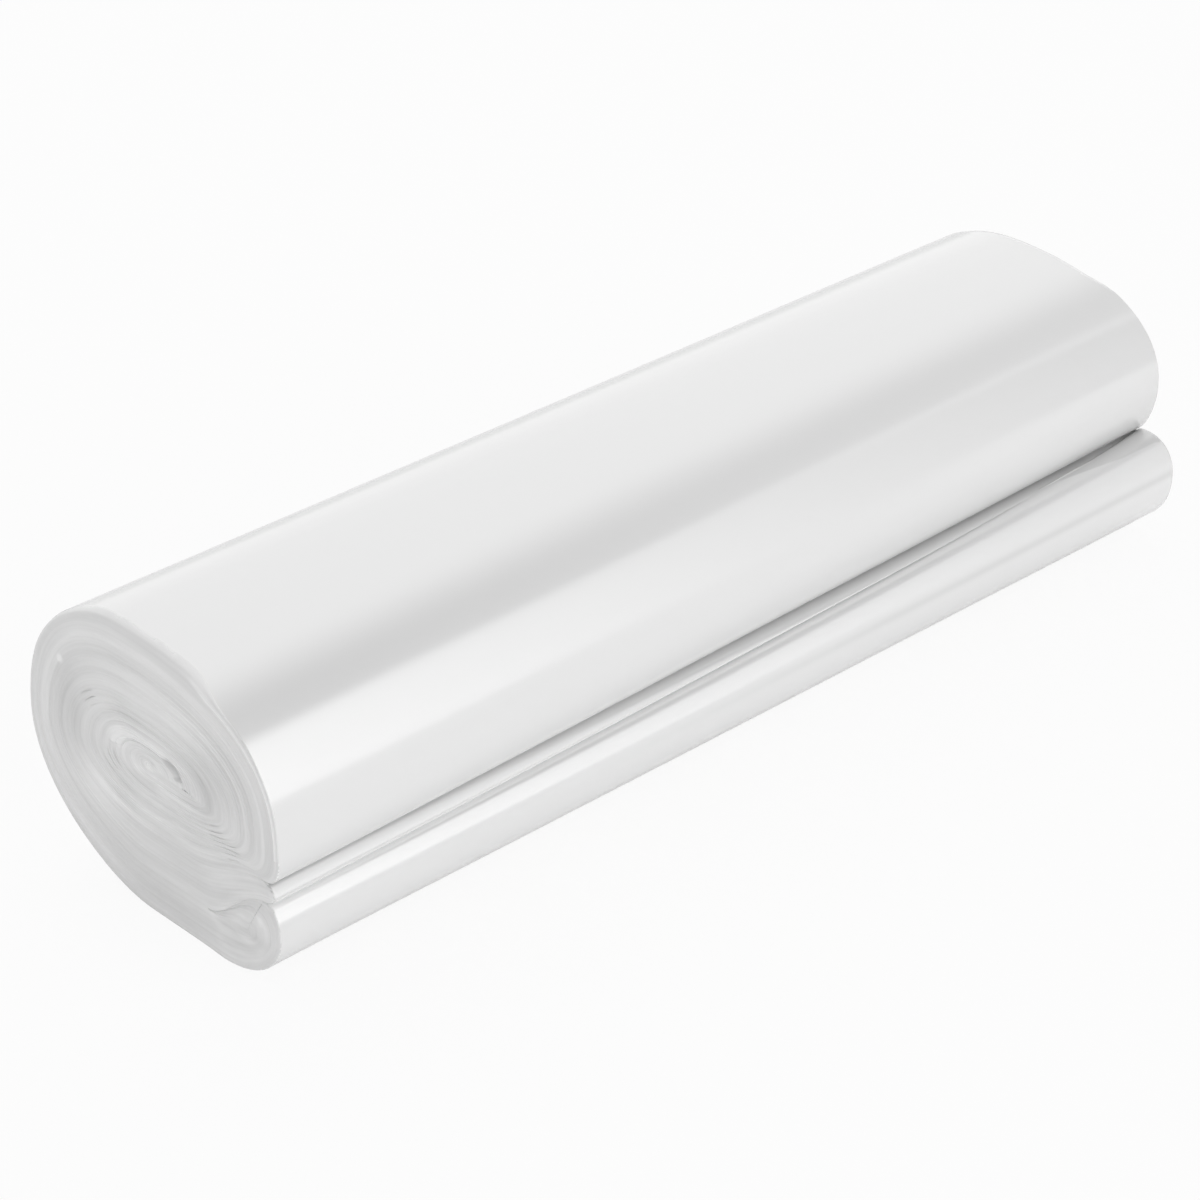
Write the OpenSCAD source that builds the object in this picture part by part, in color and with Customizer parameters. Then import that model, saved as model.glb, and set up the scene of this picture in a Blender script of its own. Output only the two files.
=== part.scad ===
// Coreless roll of clear shrink film.
// The film is a flat bundle of many layers. It is folded in two and rolled up from
// its open end, so that the fold comes last and lies as a round lip along the foot
// of the roll. X runs along the roll, Y points to its back and Z up. The origin is
// on the table, in the middle of the roll's outer box. All sizes are millimetres.

/* [Film] */
// Width of the film, which is the length of the roll
film_w = 300; // [240:5:400]

/* [Roll] */
// Depth of the roll without the fold, at its looser end
roll_d_near = 88.8; // [84:0.1:96]
// Depth of the roll without the fold, at its tighter end
roll_d_far = 86.5; // [82:0.1:94]
// Height of the roll at its looser end
roll_h_near = 72.5; // [68:0.1:80]
// Height of the roll at its tighter end
roll_h_far = 70; // [68:0.1:80]
// Distance from the back of the roll to its top line at the looser end
top_back_near = 35; // [32:0.5:42]
// Distance from the back of the roll to its top line at the tighter end
top_back_far = 39; // [32:0.5:42]
// Height of the rearmost line of the roll
back_h = 35.5; // [32:0.5:40]
// Height of the foremost line of the roll at the looser end
front_h_near = 38; // [36:0.5:46]
// Height of the foremost line of the roll at the tighter end
front_h_far = 43; // [36:0.5:46]
// Distance from the back of the roll to the eye in its middle
eye_back = 44; // [42:0.5:46]
// Height of the eye over the table
eye_h = 39.5; // [38:0.5:42]
// Turns of the folded bundle from the skin to the eye
bundle_turns = 3; // [2.8:0.1:3.2]
// Share of the height from the skin to the eye that the loose outermost turn takes
loose_turn = 0.56; // [0.5:0.01:0.6]

/* [Flat spot] */
// Width of the flat spot that the roll rests on
flat_w = 25; // [14:0.5:28]
// Distance from the back of the roll to the middle of the flat spot
flat_back = 54; // [52:0.5:58]

/* [Fold] */
// How far the fold stands out beyond the roll at the looser end
fold_out_near = -0.7; // [-2:0.1:3]
// How far the fold stands out beyond the roll at the tighter end
fold_out_far = 7.1; // [5:0.1:9]
// Height of the fold's foremost line at the looser end
nose_h_near = 15.5; // [13:0.1:18]
// Height of the fold's foremost line at the tighter end
nose_h_far = 19.3; // [17:0.1:22]
// Height of the fold's upper side at the looser end
fold_h_near = 23.3; // [22.5:0.1:24]
// Height of the fold's upper side at the tighter end
fold_h_far = 29.4; // [29:0.1:30.5]
// Depth of the fold's upper side behind its foremost line at the looser end
fold_in_near = 5.3; // [4:0.1:7]
// Depth of the fold's upper side behind its foremost line at the tighter end
fold_in_far = 9.7; // [9:0.1:10.5]

/* [Ledge and crease] */
// Height of the loose ledge of film over the fold at the looser end
ledge_h_near = 25.7; // [25:0.1:26.5]
// Height of the loose ledge of film over the fold at the tighter end
ledge_h_far = 28.6; // [28.5:0.1:28.9]
// Depth of the ledge behind the fold's foremost line at the looser end
ledge_in_near = 1.2; // [0.5:0.1:2.5]
// Depth of the ledge behind the fold's foremost line at the tighter end
ledge_in_far = 12.4; // [11.5:0.1:13]
// How much farther out the ledge stays over the fold before it dies out
ledge_reach = 4.5; // [3:0.1:5]
// Height of the crease under the roll at the looser end
crease_h_near = 29; // [28:0.1:30]
// Height of the crease under the roll at the tighter end
crease_h_far = 28.2; // [27.5:0.1:28.4]
// Depth of the crease behind the fold's foremost line at the looser end
crease_in_near = 4.6; // [4:0.1:6]
// Depth of the crease behind the fold's foremost line at the tighter end
crease_in_far = 13.9; // [13.5:0.1:15]

/* [Layer edges at the ends] */
// Width of the gap between neighbouring turns of the bundle
turn_gap = 0.9; // [0.6:0.1:1.2]
// Depth of the gap between neighbouring turns
turn_gap_depth = 4; // [2:0.5:6]
// Width of the grooves between groups of layers
layer_gap = 0.5; // [0.3:0.1:0.6]
// Depth of the grooves between groups of layers
layer_gap_depth = 1.5; // [0.5:0.5:2.5]
// Layer groups in each half of the folded bundle
layer_groups = 2; // [2:1:3]
// Distance from the eye to the small opening at each end of its slit
eye_slit_l = 8; // [6:0.5:8.5]
// Rise from the eye to the opening in front of it
eye_slit_rise = 2.2; // [1:0.1:2.5]
// Radius of the small openings
eye_r = 1.3; // [1:0.1:1.4]
// Depth of the small openings
eye_depth = 7; // [3:0.5:10]

/* [Hidden] */

// Points in each quarter turn, and stretches along the roll
STEPS = 8;
STRETCHES = 8;
// Share of the film's width that the bundle has over before it is cut off square
OVERHANG = 0.01;
// How the turns crowd towards the eye, across and upwards
CROWD_Y = 1.1;
CROWD_Z = 1.2;
// Roundness of the corners of a turn, 2 being an ellipse
LOW_BACK = 1.85;
HIGH_BACK = 2.15;
HIGH_FRONT_NEAR = 2.5;
HIGH_FRONT_FAR = 2.25;
LOW_FRONT = 2.4;
// Roundness of the roll's lower lip, which is blunt at the looser end
LIP_NEAR = 2.6;
LIP_FAR = 1.7;
FOLD_UP = 2.2;
FOLD_DOWN_NEAR = 2;
FOLD_DOWN_FAR = 2.3;
// Turns at which the layer lines stop, short of the eye
INNERMOST = 2.1;
// How far behind the crease the lines start, and their spread there at the tighter end
LEDGE_THICKNESS = 1.5;
LINES_FAR = 2.5;
// How late along the roll the ledge and the fold rise to the crease, how suddenly the
// ledge then draws back, and the roundness of its upper side
LATE = 1.5;
SUDDEN = 8;
LEDGE_UP = 2.5;

function mix(a, b, t) = a + (b - a) * t;

// A quarter of a superellipse that leaves p level and reaches q upright
function rise(p, q, n) = [
    for (i = [0:STEPS])
        let (a = 90 * i / STEPS)
            [mix(p.x, q.x, pow(sin(a), 2 / n)), mix(q.y, p.y, pow(cos(a), 2 / n))]
];
// A quarter that leaves p upright and reaches q level
function bend(p, q, n, steps = STEPS) = [
    for (i = [0:steps])
        let (a = 90 * i / steps)
            [mix(q.x, p.x, pow(cos(a), 2 / n)), mix(p.y, q.y, pow(sin(a), 2 / n))]
];
// A slope that is level at both p and q
function slope(p, q) = [
    for (i = [0:STEPS])
        let (a = i / STEPS)
            [mix(p.x, q.x, a), mix(p.y, q.y, a * a * (3 - 2 * a))]
];
// Quarters joined into one line, each starting where the last one ends
function joined(parts) = [
    for (i = [0:len(parts) - 1])
        for (j = [(i == 0 ? 0 : 1):len(parts[i]) - 1]) parts[i][j]
];

// The outermost points of the turn that lies d turns inside the skin. t runs from
// 0 at the looser end of the roll to 1 at the tighter one. A turn's bottom is flat
// from its toe to its heel.
BACK_Y = (roll_d_far + fold_out_far) / 2;
EYE = [BACK_Y - eye_back, eye_h];
EYE_SLIT = [-eye_slit_l, eye_slit_rise];
function out(d) = pow(max(0, 1 - d / bundle_turns), CROWD_Y);
function up(d) = d < 1
    ? 1 - loose_turn * d
    : (1 - loose_turn) * pow(max(0, (bundle_turns - d) / (bundle_turns - 1)), CROWD_Z);
function front_y(t) = BACK_Y - mix(roll_d_near, roll_d_far, t);
function base(d, side) =
    [mix(EYE.x, BACK_Y - flat_back + side * flat_w / 2, out(d)), mix(EYE.y, 0, up(d))];
function heel(d) = base(d, 1);
function toe(d) = base(d, -1);
function back(d) = [mix(EYE.x, BACK_Y, out(d)), mix(EYE.y, back_h, out(d))];
function top(d, t) = [
    mix(EYE.x, BACK_Y - mix(top_back_near, top_back_far, t), out(d)),
    mix(EYE.y, mix(roll_h_near, roll_h_far, t), up(d))
];
function front(d, t) =
    [mix(EYE.x, front_y(t), out(d)), mix(EYE.y, mix(front_h_near, front_h_far, t), out(d))];

// The fold, the ledge and the crease
function nose(t) =
    [front_y(t) - mix(fold_out_near, fold_out_far, t), mix(nose_h_near, nose_h_far, t)];
function crease(t) =
    [nose(t).x + mix(crease_in_near, crease_in_far, t), mix(crease_h_near, crease_h_far, t)];
function late(near, far, t) = crease(t).y
    + mix(near - crease_h_near, far - crease_h_far, pow(max(0, t), LATE));
function fold_top(t) =
    [nose(t).x + mix(fold_in_near, fold_in_far, t), late(fold_h_near, fold_h_far, t)];
function ledge(t) = [
    nose(t).x + mix(ledge_in_near, ledge_in_far, t) - ledge_reach * (t - pow(t, SUDDEN)),
    late(ledge_h_near, ledge_h_far, t)
];
function fold_mid(t) = [nose(t).x + fold_top(t).y / 2, fold_top(t).y / 2];

// The outline of the section, from the flat spot over the back to the fold
function outline(t) = joined([
    rise(heel(0), back(0), LOW_BACK),
    bend(back(0), top(0, t), HIGH_BACK),
    rise(top(0, t), front(0, t), mix(HIGH_FRONT_NEAR, HIGH_FRONT_FAR, t)),
    bend(front(0, t), crease(t), mix(LIP_NEAR, LIP_FAR, t)),
    rise(crease(t), ledge(t), LEDGE_UP),
    bend(ledge(t), fold_top(t), 2),
    rise(fold_top(t), nose(t), FOLD_UP),
    bend(nose(t), toe(0), mix(FOLD_DOWN_NEAR, FOLD_DOWN_FAR, t))
]);

// The line under the lip runs on from the crease between the first two turns. The
// lines inside it, d turns deep, turn little by little into plain quarters.
function passage(d, t) =
    d >= 1 ? bend(front(d, t), toe(d + 1), LOW_FRONT) :
    let (
        lip = joined([
            bend(front(0, t), crease(t), mix(LIP_NEAR, LIP_FAR, t)),
            slope(crease(t), toe(1))
        ]),
        quarter = bend(front(1, t), toe(2), LOW_FRONT, 2 * STEPS),
        shift_in = front(d, t) - mix(lip[0], quarter[0], d),
        shift_out = toe(1 + d) - mix(lip[2 * STEPS], quarter[2 * STEPS], d)
    ) [
        for (i = [0:2 * STEPS])
            mix(lip[i], quarter[i], d) + mix(shift_in, shift_out, i / STEPS / 2)
    ];

// The line between layers that starts at depth d in the outermost turn. It winds
// in until it is too near the eye.
function winding(d, t) = joined([
    for (k = [d:INNERMOST])
        joined([
            if (k > d) passage(k - 1, t),
            [toe(k), heel(k)],
            rise(heel(k), back(k), LOW_BACK),
            bend(back(k), top(k, t), HIGH_BACK),
            rise(top(k, t), front(k, t), mix(HIGH_FRONT_NEAR, HIGH_FRONT_FAR, t))
        ])
]);
// The lines in the fold's lower half go round its nose. d is below 0.5.
function fold_line(d, t) = joined([
    rise(mix(fold_mid(t), fold_top(t), 1 - 2 * d), mix(fold_mid(t), nose(t), 1 - 2 * d), FOLD_UP),
    bend(
        mix(fold_mid(t), nose(t), 1 - 2 * d),
        toe(d),
        mix(FOLD_DOWN_NEAR, FOLD_DOWN_FAR, t)
    ),
    winding(d, t)
]);
// The lines in the ledge's half come down from behind it. d is from 0.5 to 1.
function behind_ledge(d, t) = [
    crease(t).x + LEDGE_THICKNESS,
    mix(mix(fold_h_near, crease_h_far - LINES_FAR, t), crease(t).y, 2 * d - 1)
];
function ledge_line(d, t) = joined([slope(behind_ledge(d, t), toe(d)), winding(d, t)]);

// A groove of width w along a line
function aside(line, w) = [
    for (i = [0:len(line) - 1])
        let (
            a = line[max(0, i - 1)],
            b = line[min(len(line) - 1, i + 1)],
            along = (b - a) / norm(b - a)
        ) line[i] + [-along.y, along.x] * w / 2
];
module groove(line, w) {
    near_side = aside(line, w);
    far_side = aside(line, -w);
    polygon(concat(near_side, [for (i = [len(line) - 1:-1:0]) far_side[i]]));
}

// Cuts a flat drawing into one end, t being 0 or 1
module sink(t, depth)
    translate([0, 0, mix(-film_w / 2 - 1, film_w / 2 - depth, t)])
        linear_extrude(depth + 1) children();

// Loft of the outline along the roll, a little longer than the film at both ends
module loft() {
    m = len(outline(0));
    points = [
        for (j = [0:STRETCHES])
            let (t = mix(-OVERHANG, 1 + OVERHANG, j / STRETCHES))
                for (p = outline(t)) [p.x, p.y, film_w * (t - 0.5)]
    ];
    sides = [
        for (j = [0:STRETCHES - 1])
            for (i = [0:m - 1])
                let (
                    a = j * m + i,
                    b = j * m + (i + 1) % m
                ) each [[b, a, a + m], [b, a + m, b + m]]
    ];
    caps = [
        [for (i = [0:m - 1]) i],
        [for (i = [m - 1:-1:0]) STRETCHES * m + i]
    ];
    polyhedron(points, concat(sides, caps));
}
// The bundle is cut off square at both ends
module bundle() intersection() {
    loft();
    translate([-2 * roll_d_near, -roll_h_near, -film_w / 2])
        cube([4 * roll_d_near, 4 * roll_h_near, film_w]);
}

module film_roll() {
    color("whitesmoke") rotate([90, 0, 90]) difference() {
        bundle();
        for (t = [0, 1]) {
            sink(t, turn_gap_depth) groove(ledge_line(1, t), turn_gap);
            sink(t, layer_gap_depth) {
                groove(ledge_line(0.5, t), layer_gap);
                groove([EYE - EYE_SLIT, EYE + EYE_SLIT], layer_gap);
                for (g = [1:layer_groups - 1]) {
                    groove(fold_line(g / layer_groups / 2, t), layer_gap);
                    groove(ledge_line(0.5 + g / layer_groups / 2, t), layer_gap);
                }
            }
            for (side = [-1, 1])
                sink(t, eye_depth) translate(EYE + side * EYE_SLIT) circle(eye_r, $fn = 16);
        }
    }
}

film_roll();
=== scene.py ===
import math
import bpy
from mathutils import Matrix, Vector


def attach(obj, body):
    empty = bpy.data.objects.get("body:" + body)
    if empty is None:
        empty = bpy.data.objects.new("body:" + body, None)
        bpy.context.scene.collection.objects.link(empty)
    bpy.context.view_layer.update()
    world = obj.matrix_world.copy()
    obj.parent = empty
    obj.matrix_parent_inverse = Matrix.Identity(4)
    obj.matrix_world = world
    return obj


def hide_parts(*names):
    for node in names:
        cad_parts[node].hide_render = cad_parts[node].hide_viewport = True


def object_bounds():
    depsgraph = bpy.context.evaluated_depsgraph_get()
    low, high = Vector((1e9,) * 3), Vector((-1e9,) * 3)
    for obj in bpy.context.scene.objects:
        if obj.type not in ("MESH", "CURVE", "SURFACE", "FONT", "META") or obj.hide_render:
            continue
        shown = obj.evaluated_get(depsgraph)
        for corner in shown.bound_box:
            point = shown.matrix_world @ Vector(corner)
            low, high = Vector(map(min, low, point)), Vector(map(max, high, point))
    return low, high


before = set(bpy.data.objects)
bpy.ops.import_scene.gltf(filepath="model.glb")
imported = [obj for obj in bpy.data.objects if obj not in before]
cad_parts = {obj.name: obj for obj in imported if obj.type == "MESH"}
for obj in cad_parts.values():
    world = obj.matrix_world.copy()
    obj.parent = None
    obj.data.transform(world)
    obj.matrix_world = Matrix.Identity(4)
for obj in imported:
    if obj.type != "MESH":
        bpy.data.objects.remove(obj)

from types import SimpleNamespace

import bmesh
import bpy
import numpy as np
from mathutils import Vector

cad_low, cad_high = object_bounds()
scene = bpy.context.scene
scene.view_settings.view_transform = "Standard"

# The roll is a flat bundle of clear shrink film, many layers thick, folded in two and
# rolled up from its open end without a core. Each layer follows the same four quarter
# arcs, at its own depth in the bundle. Pairs are for the looser and the tighter end.
MM = 0.001
FILM_WIDTH = cad_high.x - cad_low.x
BACK = cad_high.y
BACK_HEIGHT = 35.5 * MM
EYE = np.array([BACK - 44 * MM, 39.5 * MM])
FLAT_BACK = 54 * MM
FLAT_WIDTH = 25 * MM
TOP_BACK_MM = (35, 39)
TOP_HEIGHT_MM = (72.5, 70)
FRONT_BACK_MM = (88.8, 86.5)
FRONT_HEIGHT_MM = (38, 43)

# How round the arcs are, 2 being an ellipse.
LOW_BACK_ARC = 1.85
HIGH_BACK_ARC = 2.15
HIGH_FRONT_ARC = (2.5, 2.25)
LOW_FRONT_ARC = 2.4
LIP_ARC = (2.6, 1.7)

# The outermost turn is loose, and the others crowd towards the eye.
TURNS = 3
LOOSE_TURN = 0.56
CROWD_ACROSS = 1.1
CROWD_UPWARD = 1.2
LATE_TO_EYE = 4

# Points along each arc and flat, and depths within each of the groups of layers.
ARC_POINTS = 28
FLAT_POINTS = 5
GROUP_STEPS = (0, 0.2, 0.5, 0.8)
LAYER_GROUPS = 2 * ARC_POINTS // len(GROUP_STEPS)


def mixed(near, far, end):
    """Straight mix of two values or points, near where end is 0 and far where it is 1."""
    return near + (far - near) * end


def toward_eye(y, z, depth, flattened=False):
    """The points that lie depth turns inside the skin's point y, z."""
    across = np.maximum(0, 1 - depth / TURNS) ** CROWD_ACROSS
    inner = (np.maximum(0, TURNS - depth) / (TURNS - 1)) ** CROWD_UPWARD
    loose = np.where(depth < 1, 1 - LOOSE_TURN * depth, (1 - LOOSE_TURN) * inner)
    upward = loose if flattened else across
    return np.stack([EYE[0] + (y - EYE[0]) * across, EYE[1] + (z - EYE[1]) * upward], -1)


def toe(depth):
    return toward_eye(BACK - FLAT_BACK - FLAT_WIDTH / 2, 0, depth, flattened=True)


def heel(depth):
    return toward_eye(BACK - FLAT_BACK + FLAT_WIDTH / 2, 0, depth, flattened=True)


def back(depth):
    return toward_eye(BACK, BACK_HEIGHT, depth)


def top(depth, end):
    y = BACK - mixed(*TOP_BACK_MM, end) * MM
    return toward_eye(y, mixed(*TOP_HEIGHT_MM, end) * MM, depth, flattened=True)


def front(depth, end):
    y = BACK - mixed(*FRONT_BACK_MM, end) * MM
    return toward_eye(y, mixed(*FRONT_HEIGHT_MM, end) * MM, depth)


def quarter(p, q, power, points=ARC_POINTS, level_first=True):
    """Quarter of a superellipse from p to q for every layer, level at one end."""
    angle = np.linspace(0, math.pi / 2, points + 1)
    slow, fast = np.cos(angle) ** (2 / power), np.sin(angle) ** (2 / power)
    p, q = (np.reshape(x, (-1, 1, 2)) for x in (p, q))
    if level_first:
        y, z = p[..., 0] + (q - p)[..., 0] * fast, q[..., 1] + (p - q)[..., 1] * slow
    else:
        y, z = q[..., 0] + (p - q)[..., 0] * slow, p[..., 1] + (q - p)[..., 1] * fast
    return np.stack([y, z], -1)


def slope(p, q):
    """Line from p to q for every layer, level at both ends."""
    part = np.linspace(0, 1, ARC_POINTS + 1)
    p, q = (np.reshape(x, (-1, 1, 2)) for x in (p, q))
    shape = np.stack([part, part * part * (3 - 2 * part)], -1)
    return p + (q - p) * shape


def joined(*lines):
    """Lines end to end, without the points that they share."""
    layers = max(len(line) for line in lines)
    lines = [np.broadcast_to(line, (layers, *line.shape[1:])) for line in lines]
    return np.concatenate([lines[0]] + [line[:, 1:] for line in lines[1:]], 1)


def layer_depths(first, last):
    """Depths in turns at which the layers' edges have points."""
    groups = range(round(first * LAYER_GROUPS), round(last * LAYER_GROUPS))
    steps = [(group + step) / LAYER_GROUPS for group in groups for step in GROUP_STEPS]
    return np.array(steps + [last])


# The fold is the bundle's closed end, a round lobe along the foot of the roll. Its upper
# side runs back into the bundle, and a looser ply bulges over it as a ledge, which dies
# out towards the tighter end.
NOSE_BACK_MM = (88.1, 93.6)
NOSE_HEIGHT_MM = (15.5, 19.3)
CREASE_IN_MM = (4.6, 13.9)
CREASE_HEIGHT_MM = (29, 28.2)
FOLD_TOP_OUT_MM = (-0.7, 4.2)
FOLD_TOP_DROP_MM = (5.7, -1.2)
LEDGE_OUT_MM = (3.4, 6)
LEDGE_DROP_MM = (3.3, -0.4)
LEDGE_DRAWN_IN_MM = 4.5
LEDGE_LASTS = 8
FOLD_RISES_LATE = 1.5
FOLD_TOP_ARC = 2.2
FOLD_FOOT_ARC = (2.0, 2.3)
CROWN_ARC = 1.2
LEDGE_ARC = 1.4
LEDGE_SHARES = 2 * layer_depths(0.5, 1)[::-1] - 1


def fold_points(end):
    """The points that the fold and the ledge are drawn between."""
    late = end ** FOLD_RISES_LATE
    ledge_out = mixed(*LEDGE_OUT_MM, end) - LEDGE_DRAWN_IN_MM * end ** LEDGE_LASTS
    top_out = mixed(*FOLD_TOP_OUT_MM, end)
    nose = np.array([BACK - mixed(*NOSE_BACK_MM, end) * MM, mixed(*NOSE_HEIGHT_MM, end) * MM])
    crease = np.array([nose[0] + mixed(*CREASE_IN_MM, end) * MM,
                       mixed(*CREASE_HEIGHT_MM, end) * MM])
    fold_top = crease - np.array([top_out, mixed(*FOLD_TOP_DROP_MM, late)]) * MM
    ledge = crease - np.array([ledge_out, mixed(*LEDGE_DROP_MM, late)]) * MM
    heart = np.array([nose[0] + fold_top[1] / 2, fold_top[1] / 2])
    return SimpleNamespace(nose=nose, crease=crease, top=fold_top, ledge=ledge, heart=heart)


def ledge_rim(share, end):
    """Points of the ledge's outline, from the fold's top, share 0, to the crease, 1."""
    fold = fold_points(end)
    low = np.radians(90 * (1 - 2 * np.minimum(share, 0.5)))[:, None]
    high = np.radians(180 * (1 - np.maximum(share, 0.5)))[:, None]
    lower = np.hstack([fold.top[0] + (fold.ledge - fold.top)[0] * np.cos(low),
                       fold.ledge[1] + (fold.top - fold.ledge)[1] * np.sin(low)])
    across, upward = np.sin(high) ** LEDGE_ARC, np.cos(high) ** LEDGE_ARC
    upper = np.hstack([fold.crease[0] + (fold.ledge - fold.crease)[0] * across,
                       fold.ledge[1] + (fold.crease - fold.ledge)[1] * upward])
    return np.where(share[:, None] < 0.5, lower, upper)


def rings(depth, end):
    """The lines from the flat spot over the back and the top to the front."""
    shares = [i / FLAT_POINTS for i in range(FLAT_POINTS + 1)]
    return joined(
        np.stack([mixed(toe(depth), heel(depth), share) for share in shares], 1),
        quarter(heel(depth), back(depth), LOW_BACK_ARC),
        quarter(back(depth), top(depth, end), HIGH_BACK_ARC, level_first=False),
        quarter(top(depth, end), front(depth, end), mixed(*HIGH_FRONT_ARC, end)),
    )


def lip(end):
    """The outermost turn's lower lip, from the front in to the crease."""
    crease = fold_points(end).crease
    return quarter(front(0, end), crease, mixed(*LIP_ARC, end), level_first=False)


def passages(depth, end):
    """The lines from the front down to the next turn's flat spot, the last to the eye."""
    steps = 2 * ARC_POINTS
    skin = joined(lip(end), slope(fold_points(end).crease, toe(1)))
    first = quarter(front(1, end), toe(2), LOW_FRONT_ARC, steps, level_first=False)
    blend = skin + (first - skin) * depth[:, None, None]
    along = np.linspace(0, 1, steps + 1)[None, :, None]
    shift_in = (front(depth, end) - blend[:, 0])[:, None]
    shift_out = (toe(depth + 1) - blend[:, -1])[:, None]
    outer = blend + mixed(shift_in, shift_out, along)
    plain = quarter(front(depth, end), toe(depth + 1), LOW_FRONT_ARC, steps, level_first=False)
    to_eye = front(layer_depths(TURNS - 1, TURNS), end)
    start_shift, stop_shift = plain[:, :1] - to_eye[0], plain[:, -1:] - to_eye[-1]
    to_eye = to_eye + mixed(start_shift, stop_shift, along)
    inner = plain + (to_eye - plain) * (np.maximum(depth - 1, 0) ** LATE_TO_EYE)[:, None, None]
    return np.where(depth[:, None, None] < 1, outer, inner)


def tucked_ledge(depth, end):
    """The lines of the half bundle over the fold, from the ledge to the flat spot."""
    return slope(ledge_rim(mixed(2 * depth - 1, 1, end), end), toe(depth))


def fold_turns(depth, end):
    """The lines that go round the fold: in over it, round its nose and out below."""
    fold = fold_points(end)
    outward = (1 - 2 * depth)[:, None]
    skin = joined(slope(toe(0.5), ledge_rim(np.array([float(end)]), end)),
                  ledge_rim(LEDGE_SHARES * end, end)[None])

    def foot(start, stop):
        roundness = mixed(*FOLD_FOOT_ARC, end)
        return quarter(start, stop, roundness, skin.shape[1] - 1, level_first=False)

    middle = foot(fold.heart, toe(0.5))[:, ::-1]
    crowning = np.hstack([outward ** CROWN_ARC, outward])
    crown, bow = mixed(fold.heart, fold.top, crowning), mixed(fold.heart, fold.nose, outward)
    return joined(middle + (skin - middle) * crowning[:, None],
                  quarter(crown, bow, FOLD_TOP_ARC),
                  foot(bow, toe(depth)))


# Each end of the roll shows the cut edges of all the layers of film, milky and uneven.
# Groups of layers stand higher or lower, with shut or gaping lines between them. The rim
# is sharp in front and soft above, where the film slackens, and the middle has sunk in.
SHARP_RIM = 0.5 * MM
SOFT_RIM = 4.5 * MM
SOFT_DROP = 3.5 * MM
SOFT_BEHIND_MM = (-26, -12)
FIRM_BEHIND_MM = (26, 42)
SOFT_ABOVE_MM = (25, 50)
BACK_FIRMNESS = 0.8
LOW_SOFTNESS = 0.2
NO_LENGTH = 1e-18
WAVES_ADDED = 6
FULL_CIRCLE = 6.28


def climb(value, start, stop):
    """0 up to start, 1 from stop on, and straight between them."""
    return np.clip((value - start) / (stop - start), 0, 1)


def hump(off):
    """1 where off is 0, and soon 0 to both sides of it."""
    return np.exp(-off ** 2)


def rim(points, soft):
    """Size of the rim's rounding, which is sharp in front and soft above."""
    y, z = points[..., 0] / MM, points[..., 1] / MM
    share = climb(y, *SOFT_BEHIND_MM)
    share = share * share * (3 - 2 * share) * (1 - BACK_FIRMNESS * climb(y, *FIRM_BEHIND_MM))
    return mixed(SHARP_RIM, soft, share * mixed(LOW_SOFTNESS, 1, climb(z, *SOFT_ABOVE_MM)))


def outline(end):
    """The skin's section as one closed loop."""
    skin = np.array([0.0])
    nose_down = fold_turns(skin, end)[0, -(len(LEDGE_SHARES) + 2 * ARC_POINTS):]
    return np.concatenate([rings(skin, end)[0], lip(end)[0][1:],
                           ledge_rim(LEDGE_SHARES, end)[1:], nose_down[1:-1]])


def from_line(points, a, b):
    """Every point's distance to the line from a to b."""
    part = np.clip((points - a) @ (b - a) / max((b - a) @ (b - a), NO_LENGTH), 0, 1)[:, None]
    return np.linalg.norm(points - a - part * (b - a), axis=-1)


def waves(seed, coords):
    """Smooth random values around 0 at the given coordinates."""
    rng = np.random.default_rng(seed)
    total = 0
    for _ in range(WAVES_ADDED):
        heading = rng.normal(0, 1, coords.shape[-1])
        total = total + np.sin(coords @ heading + rng.uniform(0, FULL_CIRCLE))
    return total / math.sqrt(WAVES_ADDED)


# Places in mm across the looser end: where the groups of layers gape, and patches where the
# film's own uneven milkiness is mixed with painted light and shade, with two painted glints,
# as a middle, two radii and how much lighter or darker it is there.
HATCHES = ((23.5, 48.9), (16.5, 35.5), (-20.6, 33.2), (-25.5, 31.2))
HATCH_RADIUS = 1.8 * MM
SHUT_LINE_MM = 0.02
OPEN_LINE_MM = 0.07
OPEN_LINE_SPREAD = 11 * MM
CLOUDS_AND_PAINTED_LIGHT = (
    ((2, 38.6), (10, 3.5), 0.10),
    ((22, 25), (10, 7), 0.12),
    ((-12, 58), (9, 5), 0.06),
    ((-18, 44), (8, 8), -0.2),
    ((31, 43), (6, 14), -0.15),
    ((-15, 20), (16, 3), -0.07),
    # The dark spot in the fold's turn is painted shade; the last two are painted glints.
    ((-33, 11.5), (2.5, 1.4), -0.14),
    ((-34.3, 17), (1, 1.6), 0.14),
    ((33.6, 54.1), (1, 0.7), 0.5),
)

# The slit over the eye, in mm across the end and in turns of depth. It gapes in front and
# is shut behind, where a raised lip lies outside it, pale with a painted highlight.
SLIT_DEPTH = 2.19
SLIT_FLOOR = EYE[1] + 1 * MM
SLIT_BACK_MM = (18.5, 13.5)
SLIT_FRONT_MM = (-9.5, -7.5)
SLIT_GAPES_MM = (-2, -4.5)
SLIT_WIDTH = (0.025, 0.1)
SHUT_SLIT = 0.3
PALE_LIP_OUT = 0.2
PALE_LIP_WIDTH = 0.15


def across_end(place, end):
    """A place on the looser end in metres, or its mirror image on the other end."""
    y, z = place
    return np.array([mixed(y * MM, 2 * EYE[0] - y * MM, end), z * MM])


def gaping(points, strand, end):
    """Depth in mm of the lines between the groups of layers."""
    openness = np.clip(waves(3, points / OPEN_LINE_SPREAD), 0, 2)
    depth = SHUT_LINE_MM + OPEN_LINE_MM * openness
    for place in HATCHES:
        off = np.linalg.norm(points - across_end(place, end), axis=-1) / HATCH_RADIUS
        depth = depth + hump(off) * (strand % 2 == 0)
    return depth


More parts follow.
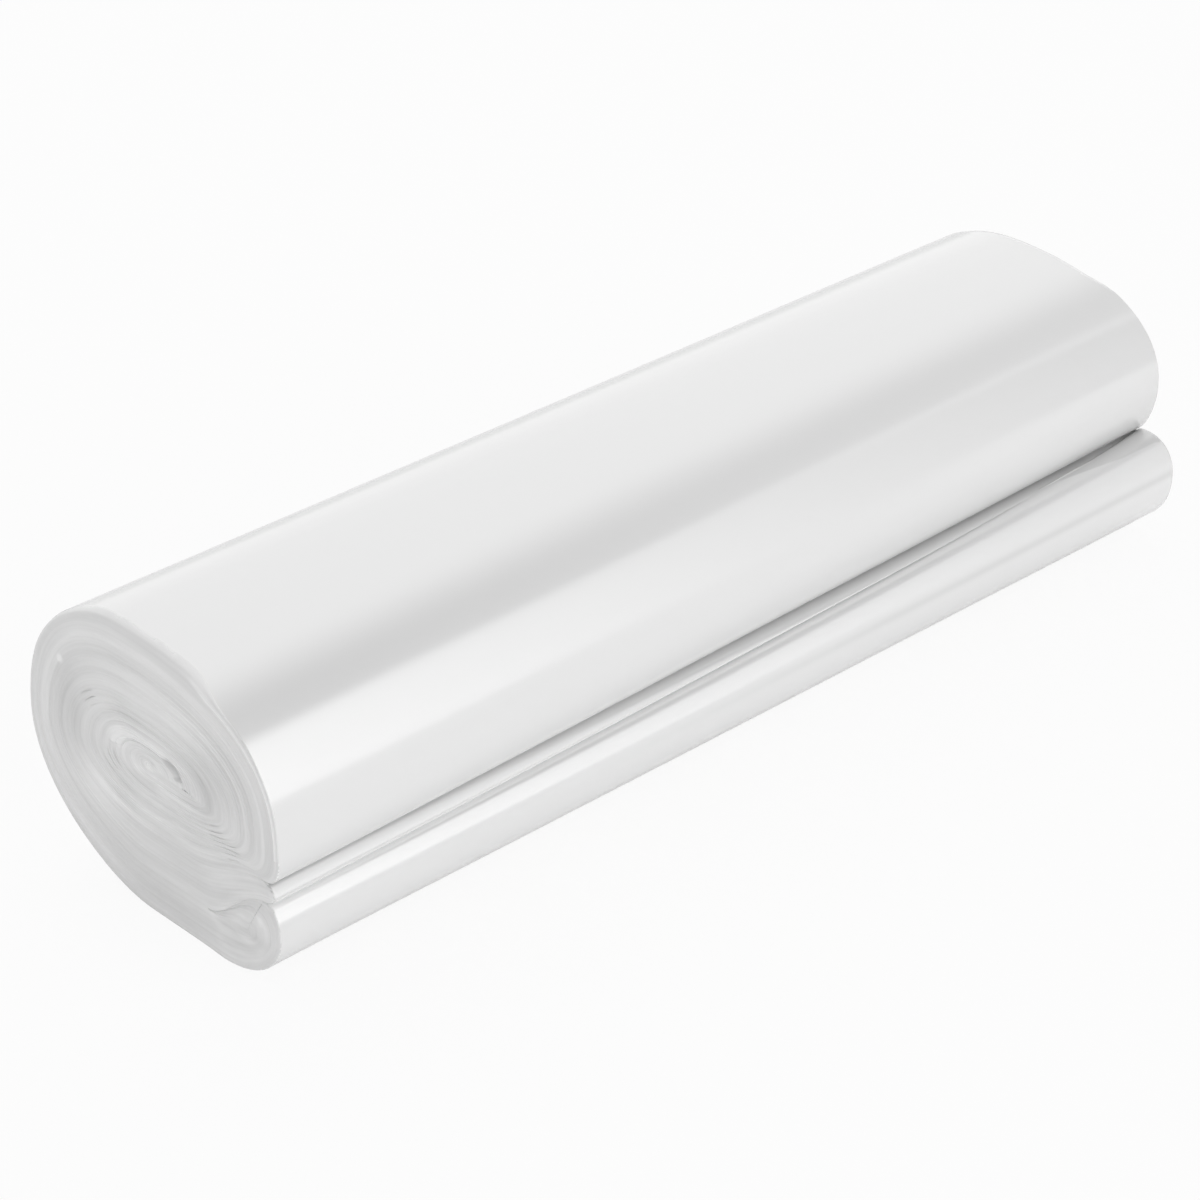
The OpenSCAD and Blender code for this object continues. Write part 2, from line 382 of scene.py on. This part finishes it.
def milkiness_and_painted_light(points, end):
    """How much lighter or darker the film is painted at each point: partly its own milkiness,
    partly painted light, shade and glints.
    """
    tone = 0
    for place, radii, amount in CLOUDS_AND_PAINTED_LIGHT:
        off = (points - across_end(place, end)) / (np.array(radii) * MM)
        tone = tone + amount * hump(np.linalg.norm(off, axis=-1))
    return tone


def eye_slit(points, depth):
    """How far each point lies in the slit over the eye, painted dark as shade, and on its lip,
    painted light as a highlight.
    """
    y, above = points[..., 0] / MM, points[..., 1] > SLIT_FLOOR
    along = above * climb(y, *SLIT_BACK_MM) * climb(y, *SLIT_FRONT_MM)
    gape = climb(y, *SLIT_GAPES_MM)
    opening = hump((depth - SLIT_DEPTH) / mixed(*SLIT_WIDTH, gape))
    pale = hump((depth - SLIT_DEPTH + PALE_LIP_OUT) / PALE_LIP_WIDTH)
    return along * mixed(SHUT_SLIT, 1, gape) * opening, along * (1 - gape) * pale


# How uneven the groups of layers are, along and across them and at the eye's slit.
QUARTERS = 4
SHORTEST_WAY = 0.01 * MM
ROUNDING = 1e-6
GROUP_RISE_MM = 0.08
ALONG_LAYERS = 0.6
ACROSS_LAYERS = 9.1
SLIT_DROP_MM = 1.3
PALE_LIP_RISE_MM = 0.5
# Painted shade darkens the eye's slit, and a painted highlight lightens its lip.
SLIT_PAINTED_SHADE = 0.12
LIP_PAINTED_HIGHLIGHT = 0.3
BETWEEN_GROUPS = 0.1


def ways(grid, start, stop):
    """Every point's way along its own layer, in quarters of a turn."""
    steps = np.linalg.norm(np.diff(grid, axis=1), axis=-1)
    way = np.hstack([np.zeros((len(grid), 1)), np.cumsum(steps, 1)])
    return mixed(start, stop, way / np.maximum(way[:, -1:], SHORTEST_WAY))


def layer_edges(grid, way, depth, end):
    """How far the layers' edges stand out in metres, and their tone, painted light and shade
    included.
    """
    turn = np.floor(depth)[:, None]
    strand = (np.floor(depth * LAYER_GROUPS + ROUNDING) % LAYER_GROUPS)[:, None]
    between = (depth * LAYER_GROUPS % 1 < BETWEEN_GROUPS)[:, None]
    spots = np.stack([(way + QUARTERS * turn) * ALONG_LAYERS,
                      strand * ACROSS_LAYERS * np.ones(grid.shape[1])], -1)
    opening, pale = eye_slit(grid, depth[:, None])
    rise = np.where(between, -gaping(grid, strand, end), GROUP_RISE_MM * waves(7, spots))
    rise = (rise - SLIT_DROP_MM * opening + PALE_LIP_RISE_MM * pale) * MM
    # The tone holds the patches' milkiness and painted light, painted shade in the slit and a
    # painted highlight on its lip.
    tone = milkiness_and_painted_light(grid, end) - SLIT_PAINTED_SHADE * opening + LIP_PAINTED_HIGHLIGHT * pale
    return rise, tone


def layer_coordinates(way, depth):
    """Every face corner's way along its layer, over all the turns, and its depth."""
    turn = np.floor(depth[:-1])[:, None]
    outer, inner = way[:-1] + QUARTERS * turn, way[1:] + QUARTERS * turn
    wide = np.ones(way.shape[1] - 1)
    outer_depth, inner_depth = (depth[:-1, None] - turn) * wide, (depth[1:, None] - turn) * wide
    return np.stack([outer[:, :-1], outer_depth, inner[:, :-1], inner_depth,
                     inner[:, 1:], inner_depth, outer[:, 1:], outer_depth], -1).ravel().tolist()


# Where the layers' edges run together they even out. The end buckles a little as a whole,
# one ply stands up inside the rim in front with a painted highlight on it, and the middle
# has sunk in.
SEAM_FADE = 1.5 * MM
SEAM_LEVEL = 0.05 * MM
BUCKLING = 0.15 * MM
BUCKLING_SPREAD = 9 * MM
PLY_FRONT = (-12 * MM, -20 * MM)
PLY_ABOVE = 36 * MM
PLY_INWARD_MM = 1.1
PLY_WIDTH_MM = 0.35
PLY_RISE = 0.35 * MM
PLY_PAINTED_HIGHLIGHT = 0.5
SUNKEN_RADII = (18 * MM, 13 * MM)
SUNKEN = 0.8 * MM
SET_BACK = 0.3 * MM


def standing_ply(points, edge):
    """Where one ply stands up, just inside the front of the rim."""
    in_front = climb(points[:, 0], *PLY_FRONT) * (points[:, 1] > PLY_ABOVE)
    return in_front * hump((edge / MM - PLY_INWARD_MM) / PLY_WIDTH_MM)


def end_relief(points, rise, edge, end):
    """How far each point of an end stands out from the cut, with the rim rounded."""
    fold = fold_points(end)
    seams = ((front(TURNS - 1, end), EYE), (toe(0.5), toe(0.5)), (fold.top, fold.heart))
    seam = np.min([from_line(points, a, b) for a, b in seams], 0)
    relief = (rise + SEAM_LEVEL) * climb(seam, 0, SEAM_FADE) - SEAM_LEVEL
    relief = relief + BUCKLING * waves(5, points / BUCKLING_SPREAD)
    relief = relief + PLY_RISE * standing_ply(points, edge)
    inward = np.minimum(edge / rim(points, SOFT_RIM), 1)
    middle = np.hypot(*((points - EYE) / SUNKEN_RADII).T)
    relief = (relief - SET_BACK - SUNKEN * np.clip(1 - middle, 0, 1)) * inward
    return relief - rim(points, SOFT_DROP) * (1 - np.sqrt(1 - (1 - inward) ** 2))


def end_face(end):
    """The mesh of all the layers' edges at one end, with its ways in quarters of a turn."""
    points, faces, layers, heights, tones = [], [], [], [], []
    patches = (
        (fold_turns, 0, 0.5, -3, 0),
        (tucked_ledge, 0.5, 1, -1, 0),
        (rings, 0, TURNS, 0, 3),
        (passages, 0, TURNS - 1, 3, 4),
    )
    for lines, first, last, start, stop in patches:
        depth = layer_depths(first, last)
        grid = lines(depth, end)
        way = ways(grid, start, stop)
        rise, tone = layer_edges(grid, way, depth, end)
        number = len(points) + np.arange(rise.size).reshape(rise.shape)
        corners = [number[:-1, :-1], number[1:, :-1], number[1:, 1:], number[:-1, 1:]]
        points += grid.reshape(-1, 2).tolist()
        faces += np.stack(corners, -1).reshape(-1, 4).tolist()
        layers += layer_coordinates(way, depth)
        heights += rise.ravel().tolist()
        tones += tone.ravel().tolist()
    points = np.array(points)
    loop = outline(end)
    edge = np.min([from_line(points, a, b) for a, b in zip(loop, np.roll(loop, -1, 0))], 0)
    relief = end_relief(points, np.array(heights), edge, end)
    x = (FILM_WIDTH / 2 + relief) * (2 * end - 1)
    # The standing ply gets a painted highlight in its tone.
    tones = np.array(tones) + PLY_PAINTED_HIGHLIGHT * standing_ply(points, edge)
    mesh = bpy.data.meshes.new("end_face")
    mesh.from_pydata(np.column_stack([x, points]).tolist(), [], faces)
    mesh.uv_layers.new(name="layers").data.foreach_set("uv", layers)
    for name, values in (("on_end", np.ones(len(points))), ("tone", tones)):
        mesh.attributes.new(name, "FLOAT", "POINT").data.foreach_set("value", values)
    return mesh


# The film's outer side is one tight skin from end to end, laid between the two ends'
# outlines, with faint waves along it where the layers are not quite tight. Its nodes are
# wired as expressions.
class Wire:
    """One socket that an expression can use; each operator adds a Math node."""

    def __init__(self, board, socket):
        self.board, self.socket = board, socket

    def maths(self, operation, first, second):
        return self.board.node("ShaderNodeMath", {"operation": operation}, {0: first, 1: second})

    def __add__(self, other):
        return self.maths("ADD", self, other)

    def __sub__(self, other):
        return self.maths("SUBTRACT", self, other)

    def __rsub__(self, other):
        return self.maths("SUBTRACT", other, self)

    def __mul__(self, other):
        return self.maths("MULTIPLY", self, other)

    def __truediv__(self, other):
        return self.maths("DIVIDE", self, other)

    __radd__, __rmul__ = __add__, __mul__


class Board:
    """A node tree that is being wired."""

    def __init__(self, tree):
        self.tree = tree
        tree.nodes.clear()

    def node(self, kind, settings=None, sockets=None, output=0):
        """A node of any kind: its settings come first, then its sockets' values or links."""
        made = self.tree.nodes.new(kind)
        for name, value in (settings or {}).items():
            setattr(made, name, value)
        for name, value in (sockets or {}).items():
            if isinstance(value, Wire):
                self.tree.links.new(value.socket, made.inputs[name])
            else:
                made.inputs[name].default_value = value
        return Wire(self, made.outputs[output] if made.outputs else None)


LENGTHWISE = 80
WAVES_PER_METRE = (7, 45, 45)
WAVES_FADE = 12 * MM
WELD = 1e-6
skin_tree = bpy.data.node_groups.new("skin_between_ends", "GeometryNodeTree")
skin = Board(skin_tree)
for label, kind in (("Outlines", "NodeSocketGeometry"), ("Lengthwise", "NodeSocketInt"),
                    ("Points round", "NodeSocketInt"), ("Wave height", "NodeSocketFloat"),
                    ("Seed", "NodeSocketFloat"), ("Film", "NodeSocketMaterial")):
    skin_tree.interface.new_socket(label, in_out="INPUT", socket_type=kind)
skin_tree.interface.new_socket("Skin", in_out="OUTPUT", socket_type="NodeSocketGeometry")
given = skin.node("NodeGroupInput").socket.node
given = {socket.name: Wire(skin, socket) for socket in given.outputs if socket.name}
index = skin.node("GeometryNodeInputIndex")
round_it = given["Points round"]
stretch = skin.node("ShaderNodeMath", {"operation": "FLOOR"}, {0: index / (round_it + 1)})
column = index - stretch * (round_it + 1)
column = skin.node("ShaderNodeMath", {"operation": "MODULO"}, {0: column, 1: round_it})
place = skin.node("GeometryNodeInputPosition")
place_on = skin.node("GeometryNodeSampleIndex", {"data_type": "FLOAT_VECTOR"}, {
    "Geometry": given["Outlines"], "Value": place, "Index": stretch * round_it + column})
grid = skin.node("GeometryNodeMeshGrid", {}, {
    "Vertices X": given["Lengthwise"] + 1, "Vertices Y": round_it + 1})
shaped = skin.node("GeometryNodeSetPosition", {}, {"Geometry": grid, "Position": place_on})
closed = skin.node("GeometryNodeMergeByDistance", {}, {"Geometry": shaped, "Distance": WELD})
scaled = skin.node("ShaderNodeVectorMath", {"operation": "MULTIPLY"},
                   {0: place, 1: WAVES_PER_METRE})
noise = skin.node("ShaderNodeTexNoise", {"noise_dimensions": "4D"},
                  {"Vector": scaled, "W": given["Seed"], "Scale": 1.0, "Detail": 1.5})
wave = (noise - 0.5) * given["Wave height"]
along = skin.node("ShaderNodeSeparateXYZ", {}, {0: place})
from_middle = skin.node("ShaderNodeMath", {"operation": "ABSOLUTE"}, {0: along})
from_rim = FILM_WIDTH / 2 - SOFT_DROP - from_middle
inside = skin.node("ShaderNodeClamp", {}, {0: from_rim / WAVES_FADE})
normal = skin.node("GeometryNodeInputNormal")
offset = skin.node("ShaderNodeVectorMath", {"operation": "SCALE"},
                   {0: normal, "Scale": wave * inside})
waved = skin.node("GeometryNodeSetPosition", {}, {"Geometry": closed, "Offset": offset})
real = skin.node("GeometryNodeRealizeInstances", {}, {"Geometry": waved})
dressed = skin.node("GeometryNodeSetMaterial", {}, {"Geometry": real, "Material": given["Film"]})
skin.node("NodeGroupOutput", {}, {0: dressed})

# The film itself is clear and glossy plastic. So many layers of it look milky white, and
# their cut edges are duller, with fine streaks along the layers.
FILM_WHITE = 0.88
END_DARKER = 0.06
FINE_STREAKS = 0.14
MILKY_STREAKS = 0.4
FINE_SPREAD = (0.5, 26)
MILKY_SPREAD = (1.1, 5)
STREAK_HEIGHT = 0.1 * MM
GLOSS = 0.2
END_DULLER = 0.15
film = bpy.data.materials.new("clear_film_in_layers")
film.use_nodes = True
shade = Board(film.node_tree)
layers_map = shade.node("ShaderNodeUVMap", {"uv_map": "layers"})
on_end = shade.node("ShaderNodeAttribute", {"attribute_name": "on_end"}, output=2)
tone = shade.node("ShaderNodeAttribute", {"attribute_name": "tone"}, output=2)


def streaks(spread):
    """Streaks around 0 that run along the layers of film."""
    stretched = shade.node("ShaderNodeVectorMath", {"operation": "MULTIPLY"},
                           {0: layers_map, 1: (*spread, 0)})
    return shade.node("ShaderNodeTexNoise", {"noise_dimensions": "2D"},
                      {"Vector": stretched, "Scale": 1.0, "Detail": 2.0}) - 0.5


fine = streaks(FINE_SPREAD)
milk = streaks(MILKY_SPREAD)
# The tone attribute carries painted shade and highlights, with the film's own uneven tone, into
# the colour.
tint = FILM_WHITE * (1 + tone - on_end * (END_DARKER - FINE_STREAKS * fine - MILKY_STREAKS * milk))
colour = shade.node("ShaderNodeMix", {"data_type": "RGBA"},
                    {0: tint, 6: (0.0, 0.0, 0.0, 1), 7: (1.0, 1.0, 1.0, 1)}, output=2)
bump = shade.node("ShaderNodeBump", {}, {
    "Strength": 0.3, "Distance": STREAK_HEIGHT, "Height": fine * on_end})
surface = shade.node("ShaderNodeBsdfPrincipled", {}, {
    "Base Color": colour, "Roughness": GLOSS + on_end * END_DULLER, "Normal": bump,
    "IOR": 2.3, "Coat Weight": 1.0, "Coat Roughness": 0.12,
})
shade.node("ShaderNodeOutputMaterial", {}, {"Surface": surface})

# The bundle is one piece of film, so the skin and both ends are welded into one closed
# mesh. The skin is laid over outlines that stand closer together beside the soft rims.
RIM_STATIONS = (0.0012, 0.003, 0.0075)
END_WELD = 0.7e-6
stations = np.linspace(0, 1, LENGTHWISE + 1)
stations[1:4] = RIM_STATIONS
stations[-4:-1] = 1 - stations[3:0:-1]
rounds = [outline(end) for end in stations]
strings = bpy.data.meshes.new("outlines")
strings.from_pydata([((2 * along - 1) * (FILM_WIDTH / 2 - drop), y, z)
                     for along, loop in zip(stations, rounds)
                     for (y, z), drop in zip(loop, rim(loop, SOFT_DROP))], [], [])
film_bundle = bpy.data.objects.new("film_bundle", strings)
scene.collection.objects.link(film_bundle)
laying = film_bundle.modifiers.new("skin", "NODES")
laying.node_group = skin_tree
sizes = {"Lengthwise": LENGTHWISE, "Points round": len(rounds[0]),
         "Wave height": 0.3 * MM, "Seed": 4.0, "Film": film}
for socket in skin_tree.interface.items_tree:
    if socket.name in sizes:
        laying[socket.identifier] = sizes[socket.name]
shown = film_bundle.evaluated_get(bpy.context.evaluated_depsgraph_get())
side_mesh = bpy.data.meshes.new_from_object(shown)
film_bundle.modifiers.remove(laying)

whole = bmesh.new()
for mesh in (side_mesh, end_face(0), end_face(1)):
    whole.from_mesh(mesh)
bmesh.ops.remove_doubles(whole, verts=whole.verts, dist=END_WELD)
bmesh.ops.recalc_face_normals(whole, faces=whole.faces)
film_mesh = bpy.data.meshes.new("film_bundle")
whole.to_mesh(film_mesh)
whole.free()

# Shade is painted into the film's colour under the lip and on the ledge by the crease, and a
# darker line is painted along the lobe, just over the fold's nose.
UNDER_LIP_PAINTED_SHADE = 0.28
UNDER_LIP_REACH_MM = (11, 22)
UNDER_LIP_FALL = (1.7, 1.2)
LEDGE_PAINTED_SHADE = 0.5
LEDGE_REACH = 5.5 * MM
CREASE_MARGIN = 1 * MM
LOBE_LINE_DARKER = 0.14
LOBE_LINE_RISE = 1.2 * MM
LOBE_LINE_WIDTH = 1.1 * MM
LOBE_LINE_MARGIN = 3 * MM
LOBE_LINE_FROM_END = (0.3, 0.8)
co = np.zeros(3 * len(film_mesh.vertices))
film_mesh.vertices.foreach_get("co", co)
x, y, z = co.reshape(-1, 3).T
far_share = np.clip(x / FILM_WIDTH + 0.5, 0, 1)
fold = fold_points(far_share)
from_crease = np.hypot(y - fold.crease[0], z - fold.crease[1])
reach = mixed(*UNDER_LIP_REACH_MM, far_share) * MM
under_lip = np.clip(1 - from_crease / reach, 0, 1) ** mixed(*UNDER_LIP_FALL, far_share)
on_ledge = np.clip(1 - from_crease / LEDGE_REACH, 0, 1)
# Painted shade under the lip and on the ledge, falling off away from the crease.
crease_shade = np.where(z > fold.crease[1], UNDER_LIP_PAINTED_SHADE * under_lip, LEDGE_PAINTED_SHADE * on_ledge)
# A darker line along the lobe, a little above the fold's nose, growing towards the tighter end.
lobe_line = hump((z - fold.nose[1] - LOBE_LINE_RISE) / LOBE_LINE_WIDTH)
lobe_line = lobe_line * (y < fold.nose[0] + LOBE_LINE_MARGIN) * climb(far_share, *LOBE_LINE_FROM_END)
side_tone = -crease_shade * (y < fold.crease[0] + CREASE_MARGIN) - LOBE_LINE_DARKER * lobe_line
end_parts, tones = np.zeros(len(x)), np.zeros(len(x))
film_mesh.attributes["on_end"].data.foreach_get("value", end_parts)
film_mesh.attributes["tone"].data.foreach_get("value", tones)
tones = np.where(end_parts > 0.5, tones, side_tone)
film_mesh.attributes["tone"].data.foreach_set("value", tones)
film_mesh.materials.clear()
film_mesh.materials.append(film)
film_mesh.shade_smooth()
film_bundle.data = film_mesh
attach(film_bundle, "root")
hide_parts("film_roll")

# The floor is a plain sheet of pale paper, which keeps the roll's soft shadow. The camera
# sees it lit to white, and so does the film's gloss in part.
FLOOR_SIZE = 12
FLOOR_PALE = 0.95
FLOOR_LIT = 0.9
LIT_IN_GLOSS = 0.25
paper = bpy.data.materials.new("pale_floor")
paper.use_nodes = True
sheet = Board(paper.node_tree)
path = sheet.node("ShaderNodeLightPath").socket.node
seen = Wire(sheet, path.outputs["Is Camera Ray"])
seen = seen + LIT_IN_GLOSS * Wire(sheet, path.outputs["Is Glossy Ray"])
seen = seen + Wire(sheet, path.outputs["Is Transmission Ray"])
matt = sheet.node("ShaderNodeBsdfDiffuse", {}, {"Color": (FLOOR_PALE, FLOOR_PALE, FLOOR_PALE, 1)})
glow = sheet.node("ShaderNodeEmission", {}, {"Color": (1, 1, 1, 1), "Strength": 1.0})
mix = sheet.node("ShaderNodeMixShader", {}, {0: seen * FLOOR_LIT, 1: matt, 2: glow})
sheet.node("ShaderNodeOutputMaterial", {}, {"Surface": mix})
bpy.ops.mesh.primitive_plane_add(size=FLOOR_SIZE, location=(0, 0, 0))
floor = bpy.context.object
floor.name = "floor"
floor.data.materials.append(paper)

# The light is a white studio tent with one dark gap overhead, which draws the soft grey
# band along the film. Its front wall is bright near the looser end and dim towards the
# other. The camera sees plain white.
TENT_LIGHT = 1.12
RIDGE = 0.249
RIDGE_SLANT = 0.84
RIDGE_MIDDLE = 0.491
LOWEST = 0.05
GAP_OPENS = (-0.68, -0.12)
GAP_SHUTS = (0.18, 0.36)
GAP_DARK = 0.95
GAP_PALER = 0.4
PALER_FROM = (0.5, 0.72)
FRONT_WALL = (0.25, 0.45)
FRONT_BRIGHTER = 0.7
BRIGHT_UNTIL = (0.45, 0.62)
FRONT_DIMMER = 0.66
DIM_FROM = (0.58, 0.74)
NEAR_WALL_DIMMER = 0.45
NEAR_WALL = (0.0, 0.5)
world = bpy.data.worlds.new("studio")
scene.world = world
world.use_nodes = True
air = Board(world.node_tree)
rays = air.node("ShaderNodeLightPath").socket.node
heading = air.node("ShaderNodeTexCoord")
parts = air.node("ShaderNodeSeparateXYZ", {}, {0: heading}).socket.node
dx, dy, dz = (Wire(air, parts.outputs[i]) for i in range(3))


def ramp(value, low, high):
    """0 up to low, 1 from high on, and a smooth rise between them."""
    return air.node("ShaderNodeMapRange", {"interpolation_type": "SMOOTHSTEP"},
                    {0: value, 1: low, 2: high, 3: 0.0, 4: 1.0})


up = air.node("ShaderNodeMath", {"operation": "MAXIMUM"}, {0: dz, 1: LOWEST})
lean = 0 - dy / up - (RIDGE - RIDGE_SLANT * (dx - RIDGE_MIDDLE))
gap = ramp(lean, *GAP_OPENS) * (1 - ramp(lean, *GAP_SHUTS))
front_wall = ramp(lean, *FRONT_WALL)
front_light = 1.0 + FRONT_BRIGHTER * (1 - ramp(dx, *BRIGHT_UNTIL))
front_light = front_light - FRONT_DIMMER * ramp(dx, *DIM_FROM)
darkness = (GAP_DARK - GAP_PALER * ramp(dx, *PALER_FROM)) * gap
level = (1 + front_wall * (front_light - 1)) * (1 - darkness)
level = TENT_LIGHT * level * (1 - NEAR_WALL_DIMMER * ramp(0 - dx, *NEAR_WALL))
seen = Wire(air, rays.outputs["Is Camera Ray"])
background = air.node("ShaderNodeBackground", {}, {
    "Color": (1, 1, 1, 1), "Strength": seen + (1 - seen) * level})
air.node("ShaderNodeOutputWorld", {}, {"Surface": background})

# The camera stands where the photo was taken: in front of the looser end, about 30
# degrees above the table, with a long lens.
LENS = 109.55
SENSOR = 36
CAMERA_PLACE = (-0.5443, -0.5528, 0.4794)
VIEW = (0.5962, 0.6221, -0.5075)
camera = bpy.data.objects.new("camera", bpy.data.cameras.new("camera"))
scene.collection.objects.link(camera)
scene.camera = camera
camera.data.lens = LENS
camera.data.sensor_width = SENSOR
camera.location = CAMERA_PLACE
camera.rotation_euler = Vector(VIEW).to_track_quat("-Z", "Y").to_euler()
